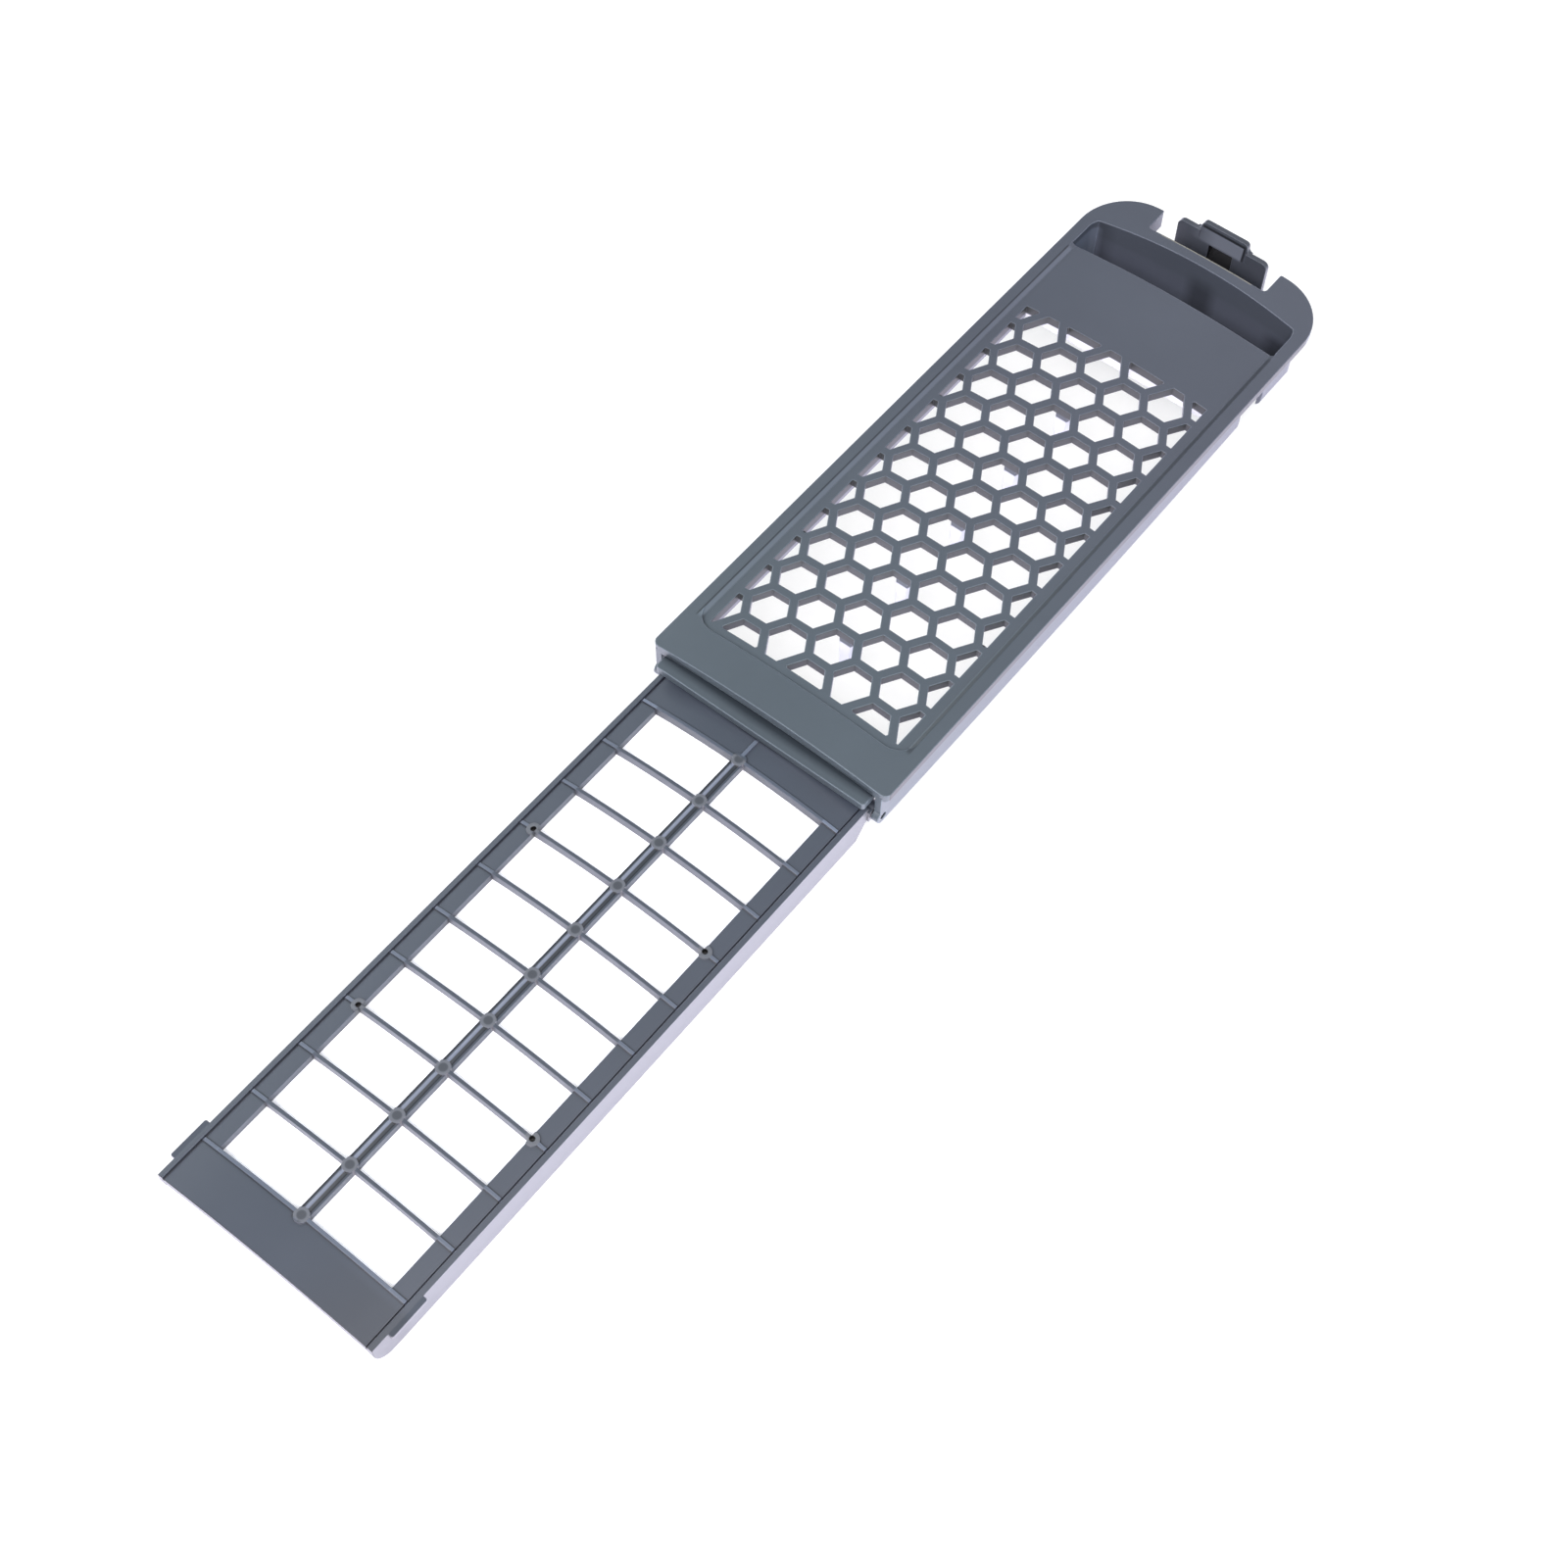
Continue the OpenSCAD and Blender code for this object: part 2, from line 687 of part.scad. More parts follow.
module rear_frame() {
    color([0.40, 0.43, 0.47])
    difference() {
        union() {
            difference() {
                union() {
                    intersection() {
                        along_x(-rear_foot, rear_foot) rear_side();
                        along_y(-rear_len - 1, rear_start) rear_end();
                        under_crown(rear_r, rear_plate_top, -rear_len - 1, 0);
                    }
                    rear_raised();
                }
                for (s = [-1, 1]) {
                    translate([s * (rear_half - lip_w - groove / 2) - groove / 2, -rear_len - 1,
                            rear_plate_top - sag(rear_r, rear_half - lip_w) - groove])
                        cube([groove, rear_len + rear_start + 1, rear_h]);
                }
            }
            both_sides() arm();
            both_sides() translate([rear_half - 1, -rear_len + tab_inset, lip_z - 1])
                linear_extrude(1) rounded(0, 0, 1 + tab_out, tab_len, 0.5);
        }
        intersection() {
            under_crown(rear_under_r, rear_under_top, -rear_len - 2, rear_start - rear_wall);
            translate([-rear_in, -rear_len - 2, -1]) cube([2 * rear_in, rear_len + 2, rear_h]);
        }
        for (i = [3, grid_rows - 3]) {
            both_sides() translate([stud_x, rib_y(i), rear_h - sag(rear_r, stud_x) - bore_deep])
                cylinder(d = stud_bore, h = rear_h);
        }
        for (s = [-1, 1], i = [0 : grid_rows - 1]) {
            translate([s * (mid_rib / 2 + grid_half) / 2, (rib_y(i) + rib_y(i + 1)) / 2, rear_h])
                cube([grid_half - mid_rib / 2, grid_pitch - grid_rib, 3 * rear_h], center = true);
        }
    }
}

module filter_net() {
    color([0.95, 0.95, 0.96])
    intersection() {
        difference() {
            under_crown(rear_under_r, rear_under_top, -rear_len, 0);
            under_crown(rear_under_r - net_t, rear_under_top - net_t, -rear_len - 1, 1);
        }
        translate([-grid_half - net_lap, rib_y(grid_rows) - net_lap, 0])
            cube([2 * grid_half + 2 * net_lap, grid_rows * grid_pitch + 2 * net_lap, rear_h]);
    }
}

// Sets the middle of the cassette over the origin
module placed() {
    translate([0, -middle_y, 0]) children();
}

placed() front_frame();
placed() rear_frame();
placed() latch();
placed() filter_net();
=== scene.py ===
# %% [markdown]
# A lint filter cassette from a washing machine, opened flat on a white table. Two dark grey
# mouldings are joined by a hinge: a cover with a honeycomb of cells, and a grid with a fine
# net behind it. The solids come from the CAD model and stay as they are. This script gives
# them their finish, adds what is too fine for the solids, and sets the table, light and camera.

# %% Load the frame
import math

import bmesh
import bpy
from mathutils import Euler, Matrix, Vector

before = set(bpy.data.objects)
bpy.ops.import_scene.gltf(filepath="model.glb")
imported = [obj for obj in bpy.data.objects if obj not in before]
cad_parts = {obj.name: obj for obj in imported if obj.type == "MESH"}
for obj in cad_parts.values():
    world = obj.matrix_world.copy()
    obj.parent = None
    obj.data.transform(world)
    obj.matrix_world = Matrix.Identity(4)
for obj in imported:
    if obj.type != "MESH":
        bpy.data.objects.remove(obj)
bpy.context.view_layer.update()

MM = 0.001

# %% [markdown]
# The camera comes first, because every finish is judged through it. The photograph was taken
# from above and to the right with a lens of about 57 mm, from a little over half a metre. The
# place and the turn were worked out from the regular pitch of the cells.

# %% Camera
CAMERA_PLACE = Vector((192.9, -263.4, 489.1)) * MM
CAMERA_TURN = Euler([math.radians(a) for a in (32.041, -0.850, 38.421)], "XYZ")
LENS_MM = 57.24


def make_camera():
    camera = bpy.data.objects.new("camera", bpy.data.cameras.new("camera"))
    bpy.context.scene.collection.objects.link(camera)
    camera.location = CAMERA_PLACE
    camera.rotation_euler = CAMERA_TURN
    camera.data.lens = LENS_MM
    camera.data.sensor_width = 36.0
    camera.data.clip_start = 0.01
    bpy.context.scene.camera = camera
    return camera


make_camera()
print("camera stands", round(CAMERA_PLACE.length * 1000), "mm from the middle of the cassette")

# %% [markdown]
# The cassette lies on a white table in a light tent. The table is lit so strongly that the
# photograph shows it pure white, and the dark plastic mirrors it: each upright face is seen
# at a flat angle, so it turns pale, while the upper faces keep their own dark grey. The light
# from the right is a little blue and the light from the front a little warm. No lamp stands
# where the upper faces would mirror it into the lens.

# %% Light and table
SKY_LEVEL = 0.03
LAMPS = [
    ("tent_roof_right", (0.55, -0.35, 1.15), (1.3, 1.3), 22.0, (1.0, 0.965, 0.95)),
    ("tent_roof_front", (0.0, -0.9, 1.0), (1.2, 0.9), 27.0, (0.92, 0.90, 1.0)),
    ("tent_roof_back", (-0.45, 0.65, 1.1), (1.0, 1.0), 1.5, (0.7, 0.9, 1.0)),
    ("tent_right", (1.15, 0.15, 0.45), (1.3, 0.7), 8.0, (0.55, 0.75, 1.0)),
    ("tent_left", (-1.15, 0.0, 0.5), (1.3, 0.7), 13.5, (0.88, 0.95, 1.0)),
    ("tent_back", (0.1, 1.2, 0.5), (1.3, 0.7), 5.6, (0.95, 0.90, 1.0)),
]
TABLE_MIRRORED = (1.35, 1.25, 1.62, 1.0)
TABLE_SEEN_GLOW = 0.70
TABLE_SEEN_CLOTH = (0.32, 0.32, 0.31, 1.0)


def set_sky():
    world = bpy.data.worlds.new("tent_cloth")
    bpy.context.scene.world = world
    world.use_nodes = True
    nodes, links = world.node_tree.nodes, world.node_tree.links
    nodes.clear()
    lit = nodes.new("ShaderNodeBackground")
    lit.inputs["Color"].default_value = (0.96, 0.97, 1.0, 1.0)
    lit.inputs["Strength"].default_value = SKY_LEVEL
    seen = nodes.new("ShaderNodeBackground")
    seen.inputs["Color"].default_value = (1.0, 1.0, 1.0, 1.0)
    seen.inputs["Strength"].default_value = 1.0
    mix = nodes.new("ShaderNodeMixShader")
    out = nodes.new("ShaderNodeOutputWorld")
    path = nodes.new("ShaderNodeLightPath")
    links.new(path.outputs["Is Camera Ray"], mix.inputs["Fac"])
    links.new(lit.outputs[0], mix.inputs[1])
    links.new(seen.outputs[0], mix.inputs[2])
    links.new(mix.outputs[0], out.inputs["Surface"])


def add_lamp(name, place, size, watts, colour):
    lamp = bpy.data.lights.new(name, "AREA")
    lamp.shape = "RECTANGLE"
    lamp.size, lamp.size_y = size
    lamp.energy = watts
    lamp.color = colour
    holder = bpy.data.objects.new(name, lamp)
    bpy.context.scene.collection.objects.link(holder)
    holder.location = place
    holder.rotation_euler = (-Vector(place)).to_track_quat("-Z", "Y").to_euler()


def distance_glow(nodes, links):
    place = nodes.new("ShaderNodeTexCoord").outputs["Object"]
    away = nodes.new("ShaderNodeVectorMath")
    away.operation = "LENGTH"
    links.new(place, away.inputs[0])
    far = nodes.new("ShaderNodeMapRange")
    far.inputs["From Min"].default_value = 0.3
    far.inputs["From Max"].default_value = 1.2
    far.inputs["To Min"].default_value = TABLE_SEEN_GLOW
    far.inputs["To Max"].default_value = 1.3
    links.new(away.outputs["Value"], far.inputs["Value"])
    return far.outputs["Result"]


def cloth_with_glow(nodes, links, colour, glow_colour, glow_level):
    cloth = nodes.new("ShaderNodeBsdfDiffuse")
    cloth.inputs["Color"].default_value = colour
    glow = nodes.new("ShaderNodeEmission")
    glow.inputs["Color"].default_value = glow_colour
    if glow_level is None:
        glow.inputs["Strength"].default_value = 1.0
    else:
        links.new(glow_level, glow.inputs["Strength"])
    both = nodes.new("ShaderNodeAddShader")
    links.new(cloth.outputs[0], both.inputs[0])
    links.new(glow.outputs[0], both.inputs[1])
    return both.outputs[0]


def mix_by_ray(nodes, links, ray, plain, special):
    path = nodes.new("ShaderNodeLightPath")
    mix = nodes.new("ShaderNodeMixShader")
    links.new(path.outputs[ray], mix.inputs["Fac"])
    links.new(plain, mix.inputs[1])
    links.new(special, mix.inputs[2])
    return mix.outputs[0]


def table_finish():
    material = bpy.data.materials.new("white_table")
    material.use_nodes = True
    nodes, links = material.node_tree.nodes, material.node_tree.links
    nodes.clear()
    white = (0.86, 0.87, 0.90, 1.0)
    bounce = cloth_with_glow(nodes, links, white, (2.0, 2.0, 2.3, 1.0), None)
    mirrored = cloth_with_glow(nodes, links, white, TABLE_MIRRORED, None)
    seen = cloth_with_glow(nodes, links, TABLE_SEEN_CLOTH, (1.0, 1.0, 1.0, 1.0), distance_glow(nodes, links))
    shader = mix_by_ray(nodes, links, "Is Glossy Ray", bounce, mirrored)
    shader = mix_by_ray(nodes, links, "Is Transmission Ray", shader, seen)
    shader = mix_by_ray(nodes, links, "Is Camera Ray", shader, seen)
    out = nodes.new("ShaderNodeOutputMaterial")
    links.new(shader, out.inputs["Surface"])
    return material


def make_table():
    mesh = bmesh.new()
    bmesh.ops.create_grid(mesh, x_segments=1, y_segments=1, size=3.0)
    data = bpy.data.meshes.new("table")
    bmesh.ops.translate(mesh, verts=mesh.verts, vec=(0, 0, -0.02 * MM))
    mesh.to_mesh(data)
    mesh.free()
    table = bpy.data.objects.new("table", data)
    bpy.context.scene.collection.objects.link(table)
    data.materials.append(table_finish())


set_sky()
for lamp in LAMPS:
    add_lamp(*lamp)
make_table()
bpy.context.scene.view_settings.view_transform = "Standard"
print("lamps:", ", ".join(f"{lamp[0]} {lamp[3]:.0f} W" for lamp in LAMPS))

# %% [markdown]
# The mouldings are polypropylene or ABS, dyed a blue grey. Their steel mould was finished by
# spark erosion, so the surface has a very fine even grain and a soft sheen. The grain is bump
# from a noise finer than a third of a millimetre, with a slow second noise for the slight
# unevenness of the flow. The edges of a moulding are never quite sharp: the Bevel node turns
# the normals there, and where it turns them, the plastic gets a painted highlight and is paler.
# Ambient occlusion over less than a millimetre finds the creases, which get painted shade.

# %% Building blocks for masks
PLACED_BACK = 15.05 * MM


def maths(tree, operation, *values):
    node = tree.nodes.new("ShaderNodeMath")
    node.operation = operation
    for socket, value in zip(node.inputs, values):
        if isinstance(value, (int, float)):
            socket.default_value = value
        else:
            tree.links.new(value, socket)
    return node.outputs[0]


def slope(tree, value, start, end, first=0.0, last=1.0):
    """A value that runs from first to last while the input runs from start to end."""
    node = tree.nodes.new("ShaderNodeMapRange")
    node.inputs["From Min"].default_value = start
    node.inputs["From Max"].default_value = end
    node.inputs["To Min"].default_value = first
    node.inputs["To Max"].default_value = last
    tree.links.new(value, node.inputs["Value"])
    return node.outputs["Result"]


def between(tree, value, low, high, soft_low, soft_high=None):
    soft_high = soft_low if soft_high is None else soft_high
    rise = slope(tree, value, low - soft_low, low)
    fall = slope(tree, value, high, high + soft_high, 1.0, 0.0)
    return maths(tree, "MULTIPLY", rise, fall)


def all_of(tree, *masks):
    result = masks[0]
    for mask in masks[1:]:
        result = maths(tree, "MULTIPLY", result, mask)
    return result


def coordinates(tree):
    split = tree.nodes.new("ShaderNodeSeparateXYZ")
    tree.links.new(tree.nodes.new("ShaderNodeTexCoord").outputs["Object"], split.inputs[0])
    return split.outputs


def near_axis(tree, x, y, radius, soft):
    """One near an upright axis at x, y, and nought away from it."""
    place = coordinates(tree)
    side = maths(tree, "SUBTRACT", place["X"], x)
    along = maths(tree, "SUBTRACT", place["Y"], y)
    squares = maths(tree, "ADD", maths(tree, "MULTIPLY", side, side), maths(tree, "MULTIPLY", along, along))
    return slope(tree, maths(tree, "SQRT", squares), radius, radius + soft, 1.0, 0.0)


def any_of(tree, masks):
    result = masks[0]
    for mask in masks[1:]:
        result = maths(tree, "MAXIMUM", result, mask)
    return result


def paint(material, mask, colour, blend="MIX"):
    """Where the mask is one, the base colour becomes this colour, or is multiplied by it."""
    tree = material.node_tree
    base = tree.nodes["Principled BSDF"].inputs["Base Color"]
    pick = tree.nodes.new("ShaderNodeMix")
    pick.data_type = "RGBA"
    pick.blend_type = blend
    pick.clamp_result = False
    pick.inputs["B"].default_value = colour + (1.0,)
    tree.links.new(mask, pick.inputs["Factor"])
    tree.links.new(base.links[0].from_socket, pick.inputs["A"])
    tree.links.new(pick.outputs["Result"], base)


# %% Finish of the mouldings
def flow_tint(tree, colour):
    flow = tree.nodes.new("ShaderNodeTexNoise")
    flow.inputs["Scale"].default_value = 45.0
    flow.inputs["Detail"].default_value = 4.0
    tree.links.new(tree.nodes.new("ShaderNodeTexCoord").outputs["Object"], flow.inputs["Vector"])
    tint = tree.nodes.new("ShaderNodeValToRGB")
    tint.color_ramp.elements[0].position = 0.3
    tint.color_ramp.elements[1].position = 0.7
    tint.color_ramp.elements[0].color = tuple(c * 0.955 for c in colour) + (1.0,)
    tint.color_ramp.elements[1].color = tuple(c * 1.045 for c in colour) + (1.0,)
    tree.links.new(flow.outputs["Fac"], tint.inputs["Fac"])
    return tint.outputs["Color"]


def grain_and_round_edges(tree, edge_mm):
    grain = tree.nodes.new("ShaderNodeTexNoise")
    grain.inputs["Scale"].default_value = 3600.0
    grain.inputs["Detail"].default_value = 2.0
    tree.links.new(tree.nodes.new("ShaderNodeTexCoord").outputs["Object"], grain.inputs["Vector"])
    edge = tree.nodes.new("ShaderNodeBevel")
    edge.samples = 6
    edge.inputs["Radius"].default_value = edge_mm * MM
    bump = tree.nodes.new("ShaderNodeBump")
    bump.inputs["Strength"].default_value = 0.18
    bump.inputs["Distance"].default_value = 0.02 * MM
    tree.links.new(grain.outputs["Fac"], bump.inputs["Height"])
    tree.links.new(edge.outputs["Normal"], bump.inputs["Normal"])
    return edge.outputs["Normal"], bump.outputs["Normal"]


def turned_edge(tree, round_normal):
    facing = tree.nodes.new("ShaderNodeNewGeometry").outputs["Normal"]
    agree = tree.nodes.new("ShaderNodeVectorMath")
    agree.operation = "DOT_PRODUCT"
    tree.links.new(facing, agree.inputs[0])
    tree.links.new(round_normal, agree.inputs[1])
    return slope(tree, agree.outputs["Value"], 0.985, 0.82)


def open_sky(tree, reach_mm):
    hollow = tree.nodes.new("ShaderNodeAmbientOcclusion")
    hollow.samples = 6
    hollow.inputs["Distance"].default_value = reach_mm * MM
    return slope(tree, hollow.outputs["AO"], 0.45, 0.9)


def moulded_plastic(name, colour, roughness, ior, edge_mm, edge_highlight_gain):
    material = bpy.data.materials.new(name)
    material.use_nodes = True
    tree = material.node_tree
    surface = tree.nodes["Principled BSDF"]
    surface.inputs["Roughness"].default_value = roughness
    surface.inputs["IOR"].default_value = ior
    tree.links.new(flow_tint(tree, colour), surface.inputs["Base Color"])
    round_normal, grain_normal = grain_and_round_edges(tree, edge_mm)
    tree.links.new(grain_normal, surface.inputs["Normal"])
    outside = open_sky(tree, 0.8)
    # Painted highlight on the rounded edges, and painted shade in the creases.
    paint(material, all_of(tree, turned_edge(tree, round_normal), outside), (edge_highlight_gain,) * 3, "MULTIPLY")
    paint(material, maths(tree, "SUBTRACT", 1.0, outside), (0.45, 0.44, 0.47), "MULTIPLY")
    return material


def dress(node, material):
    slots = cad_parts[node].material_slots
    for slot in slots:
        slot.material = material
    print(node, "gets", material.name)


# %% [markdown]
# The cover has four gauge holes of less than a millimetre, painted black as painted shade. Its
# spacer posts, and the low wall round the honeycomb, mirror so much of the lit table that they
# look pale: their skin below the honeycomb gets a pale colour as a painted reflection, with a
# dark collar left at the root of each post. The left wall of the finger pocket has a painted
# highlight and is a shade lighter. Towards the hinge the grey turns a little greener.

# %% Front frame
FRONT_GREY = (0.048, 0.054, 0.067)
GAUGE_HOLES = [(x * MM, y * MM - PLACED_BACK) for x in (-26.6, 26.6) for y in (47.8, 102.9)]
POST_AXES = [(118.2 - 22 * i) * MM - PLACED_BACK for i in range(5)]


def height_under_crown(tree):
    """Height measured along the crown, whose radius is 267 mm."""
    place = coordinates(tree)
    return maths(tree, "ADD", place["Z"], maths(tree, "DIVIDE", maths(tree, "MULTIPLY", place["X"], place["X"]), 0.534))


def upright_faces(tree):
    split = tree.nodes.new("ShaderNodeSeparateXYZ")
    tree.links.new(tree.nodes.new("ShaderNodeNewGeometry").outputs["True Normal"], split.inputs[0])
    return slope(tree, maths(tree, "ABSOLUTE", split.outputs["Z"]), 0.4, 0.6, 1.0, 0.0)


def finish_front():
    cover = moulded_plastic("grey_cover_plastic", FRONT_GREY, 0.42, 1.49, 0.45, 2.6)
    tree = cover.node_tree
    place = coordinates(tree)
    paint(cover, slope(tree, place["Y"], 110.0 * MM, -10.0 * MM), (1.02, 1.14, 1.05), "MULTIPLY")
    # Painted reflection: the posts are painted pale below the honeycomb.
    posts = any_of(tree, [near_axis(tree, 0.0, y, 2.2 * MM, 0.1 * MM) for y in POST_AXES])
    paint(cover, all_of(tree, posts, slope(tree, place["Z"], 11.9 * MM, 12.4 * MM, 1.0, 0.0)), (0.50, 0.50, 0.55))

    height = height_under_crown(tree)
    side = maths(tree, "ABSOLUTE", place["X"])
    # Painted reflection on the low wall round the honeycomb, paler on one side than the other and at the pocket end,
    # and painted shade on the cell walls above it.
    window = all_of(tree, upright_faces(tree), slope(tree, side, 27.45 * MM, 27.5 * MM, 1.0, 0.0),
                    between(tree, place["Y"], -1.9 * MM, 125.7 * MM, 0.05 * MM))
    below = slope(tree, height, 13.35 * MM, 13.55 * MM, 1.0, 0.0)
    paint(cover, all_of(tree, window, below, slope(tree, place["X"], 27.2 * MM, 27.3 * MM)), (0.38, 0.37, 0.41))
    paint(cover, all_of(tree, window, below, slope(tree, place["X"], -27.2 * MM, -27.3 * MM)), (0.16, 0.16, 0.19))
    paint(cover, all_of(tree, window, below, slope(tree, place["Y"], 125.5 * MM, 125.55 * MM)), (0.58, 0.57, 0.60))
    paint(cover, all_of(tree, window, slope(tree, height, 13.6 * MM, 13.7 * MM)), (0.46, 0.44, 0.34), "MULTIPLY")

    along = between(tree, place["Y"], -2.0 * MM, 149.0 * MM, 1.0 * MM)
    on_top = all_of(tree, along, slope(tree, height, 15.4 * MM, 15.6 * MM))
    # Painted highlight and painted shade along the slopes of the rim's recess.
    paint(cover, all_of(tree, on_top, between(tree, place["X"], -30.8 * MM, -30.1 * MM, 0.15 * MM)), (1.5, 1.5, 1.5), "MULTIPLY")
    paint(cover, all_of(tree, on_top, between(tree, place["X"], -31.3 * MM, -31.05 * MM, 0.1 * MM)), (0.35, 0.35, 0.35), "MULTIPLY")
    paint(cover, all_of(tree, on_top, between(tree, place["X"], 30.3 * MM, 31.1 * MM, 0.2 * MM)), (0.55, 0.55, 0.55), "MULTIPLY")
    # Painted shade on the rim's narrow outer faces.
    rim_face = slope(tree, side, 34.2 * MM, 34.25 * MM)
    paint(cover, all_of(tree, rim_face, upright_faces(tree)), (0.1, 0.1, 0.1), "MULTIPLY")

    # Painted highlight on the left wall of the finger pocket.
    pocket = all_of(tree, between(tree, place["Y"], 150.9 * MM, 163.7 * MM, 0.1 * MM),
                    slope(tree, place["X"], -28.0 * MM, -30.0 * MM),
                    slope(tree, place["Z"], 12.6 * MM, 13.4 * MM, 1.0, 0.0))
    paint(cover, pocket, (1.9, 1.9, 1.95), "MULTIPLY")
    # Painted light on the lower part of the pocket's far wall, and painted shade in a patch at its middle and at both
    # its corners.
    far_wall = all_of(tree, upright_faces(tree), between(tree, place["Y"], 158.0 * MM, 166.0 * MM, 0.1 * MM),
                      slope(tree, side, 29.5 * MM, 29.4 * MM))
    paint(cover, all_of(tree, far_wall, slope(tree, place["Z"], 10.5 * MM, 5.5 * MM)), (1.6, 1.56, 1.62), "MULTIPLY")
    shade = all_of(tree, between(tree, place["X"], 0.0, 3.6 * MM, 3.5 * MM, 3.5 * MM),
                   slope(tree, place["Z"], 13.5 * MM, 8.5 * MM))
    left_corner = slope(tree, place["X"], -24.0 * MM, -28.0 * MM, 0.0, 0.5)
    right_corner = all_of(tree, slope(tree, place["X"], 21.5 * MM, 25.5 * MM), slope(tree, place["Z"], 9.5 * MM, 6.5 * MM))
    shaded = any_of(tree, [shade, left_corner, right_corner])
    paint(cover, all_of(tree, far_wall, shaded), (0.48, 0.48, 0.48), "MULTIPLY")

    # Painted shade on the wall above the ledge and on the ledge.
    behind_ledge = all_of(tree, between(tree, place["Y"], -15.4 * MM, -13.6 * MM, 0.1 * MM), between(tree, place["Z"], 12.25 * MM, 14.0 * MM, 0.1 * MM, 0.3 * MM),
                          slope(tree, side, 30.6 * MM, 30.4 * MM))
    paint(cover, behind_ledge, (0.5, 0.52, 0.54), "MULTIPLY")
    ledge = all_of(tree, slope(tree, place["Y"], -17.2 * MM, -15.6 * MM), between(tree, place["Z"], 12.0 * MM, 12.24 * MM, 0.1 * MM, 0.01 * MM), slope(tree, side, 30.6 * MM, 30.4 * MM),
                   slope(tree, place["Y"], -13.5 * MM, -14.0 * MM))
    paint(cover, ledge, (0.55, 0.57, 0.6), "MULTIPLY")

    lip = all_of(tree, between(tree, place["Y"], 166.45 * MM, 166.8 * MM, 0.1 * MM), slope(tree, side, 14.0 * MM, 13.8 * MM), slope(tree, height, 15.8 * MM, 16.0 * MM))
    paint(cover, lip, (0.16, 0.155, 0.13))

    # The gauge holes are painted black as painted shade.
    holes = any_of(tree, [near_axis(tree, x, y, 0.36 * MM, 0.1 * MM) for x, y in GAUGE_HOLES])
    paint(cover, holes, (0.001, 0.001, 0.0012))
    dress("front_frame", cover)


finish_front()

# %% [markdown]
# The grid's cross ribs run on over its borders as fine raised lines, with a painted highlight
# on top and painted shade in a crease on both sides. The tall centre rib has a painted highlight
# along its crest and painted shade on its flanks. The solid plate at the free end has painted
# shade that darkens towards one corner. Four hollow bosses for heat staking are painted black
# inside as painted shade.

# %% Rear frame
REAR_GREY = (0.033, 0.040, 0.052)
FIRST_RIB = -10.3 * MM - PLACED_BACK
RIB_PITCH = 14.18 * MM
GRID_EDGE = 24.4 * MM
STUDS = [(x * MM, FIRST_RIB - i * RIB_PITCH) for x in (-24.9, 24.9) for i in (3, 7)]


def from_nearest_rib(tree, place):
    along = maths(tree, "SUBTRACT", place["Y"], FIRST_RIB)
    return maths(tree, "ABSOLUTE", maths(tree, "WRAP", along, RIB_PITCH / 2, -RIB_PITCH / 2))


